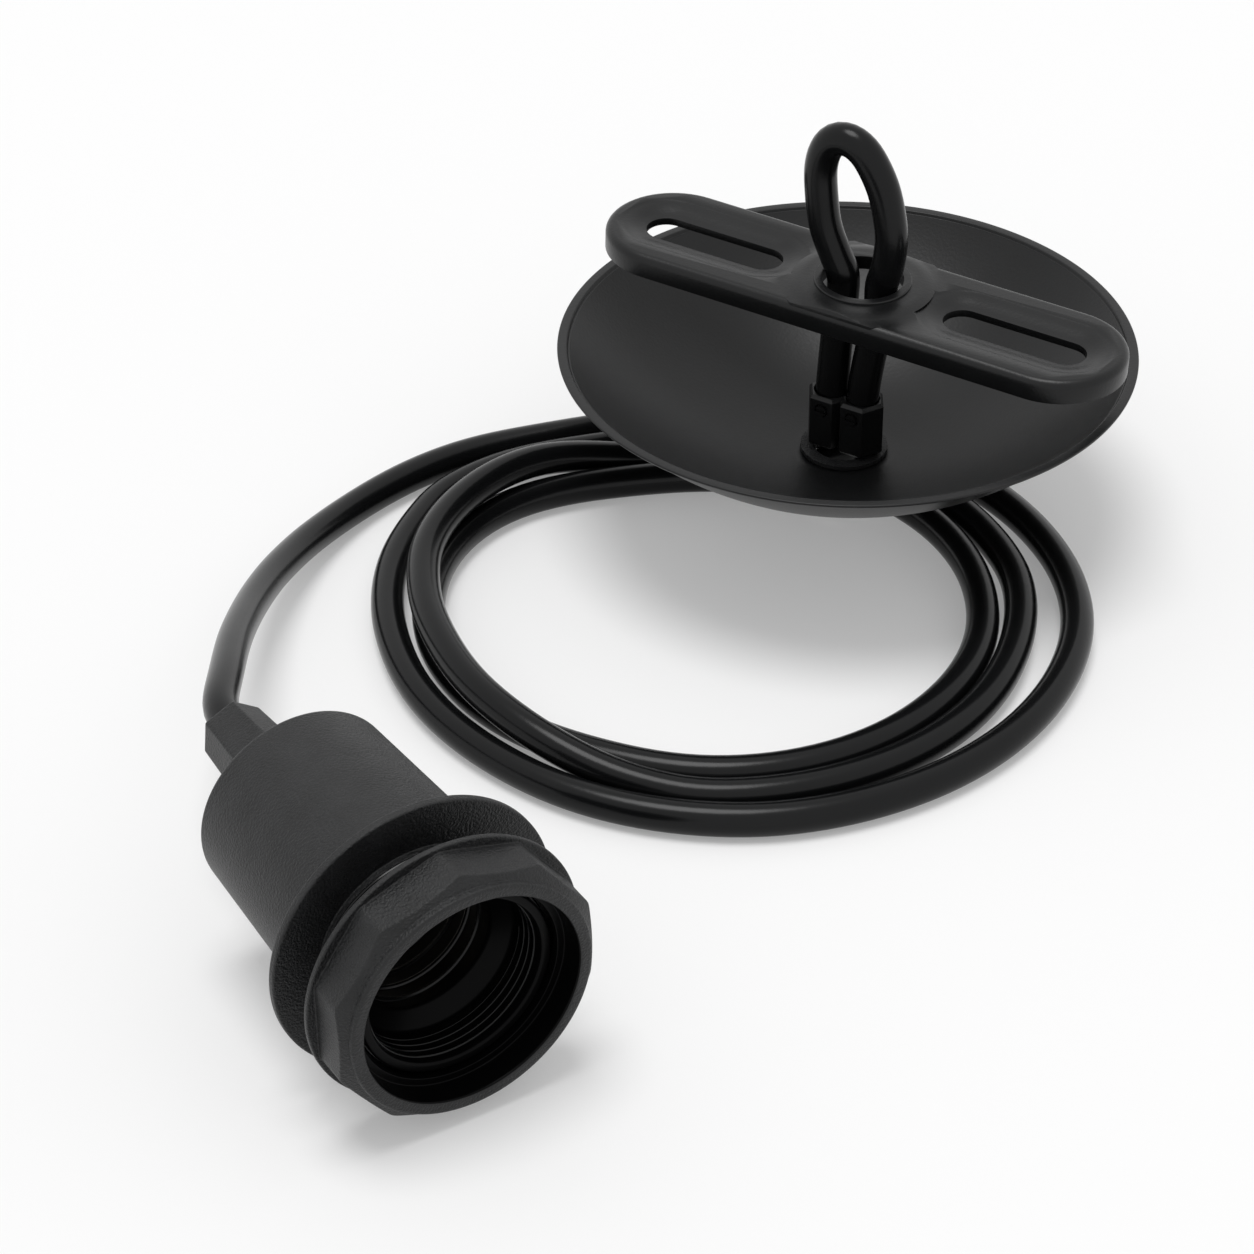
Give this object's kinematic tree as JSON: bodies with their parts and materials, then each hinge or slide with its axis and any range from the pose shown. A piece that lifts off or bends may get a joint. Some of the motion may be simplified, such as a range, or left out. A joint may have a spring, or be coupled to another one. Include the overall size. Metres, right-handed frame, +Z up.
{
  "type": "pendant lamp cord set",
  "caption": "Black pendant cord set: threaded lamp holder with shade ring, coiled cord, dished canopy and slotted ceiling bracket.",
  "frame": {"origin": "centre of the rigid pieces' box, at the surface that the set lies on", "axes": "+Z up; +Y from the lamp holder towards the canopy, along the set's length; +X to the right as seen from the lamp holder's side"},
  "size_m": [0.19, 0.2719, 0.0935],
  "materials": {
    "textured_plastic": "fine sand texture",
    "painted_steel": "satin powder coat",
    "cord_sheath": "satin",
    "ceramic": "glazed ceramic",
    "brass": "bright",
    "zinc_steel": "satin",
    "brown_core": "satin",
    "blue_core": "satin"
  },
  "bodies": {
    "root": {"holder_cap": "textured_plastic", "holder_skirt": "textured_plastic", "shade_ring": "textured_plastic", "cable_grip_nut": "textured_plastic", "cable_grip_collet": "textured_plastic", "contact_carrier": "ceramic", "centre_contact": "brass", "side_contact": "brass", "terminal_live": "brass", "terminal_neutral": "brass", "terminal_screw_live": "zinc_steel", "terminal_screw_neutral": "zinc_steel", "sheath_in_grip": "cord_sheath", "core_live": "brown_core", "core_neutral": "blue_core", "canopy": "painted_steel", "canopy_bush": "textured_plastic", "ceiling_bracket": "painted_steel", "cord_loop": "cord_sheath", "cord_clamp": "painted_steel", "clamp_screw_right": "painted_steel", "clamp_screw_left": "painted_steel", "cord_lead": "cord_sheath", "cord_coil": "cord_sheath", "cord_riser": "cord_sheath"}
  },
  "joints": []
}
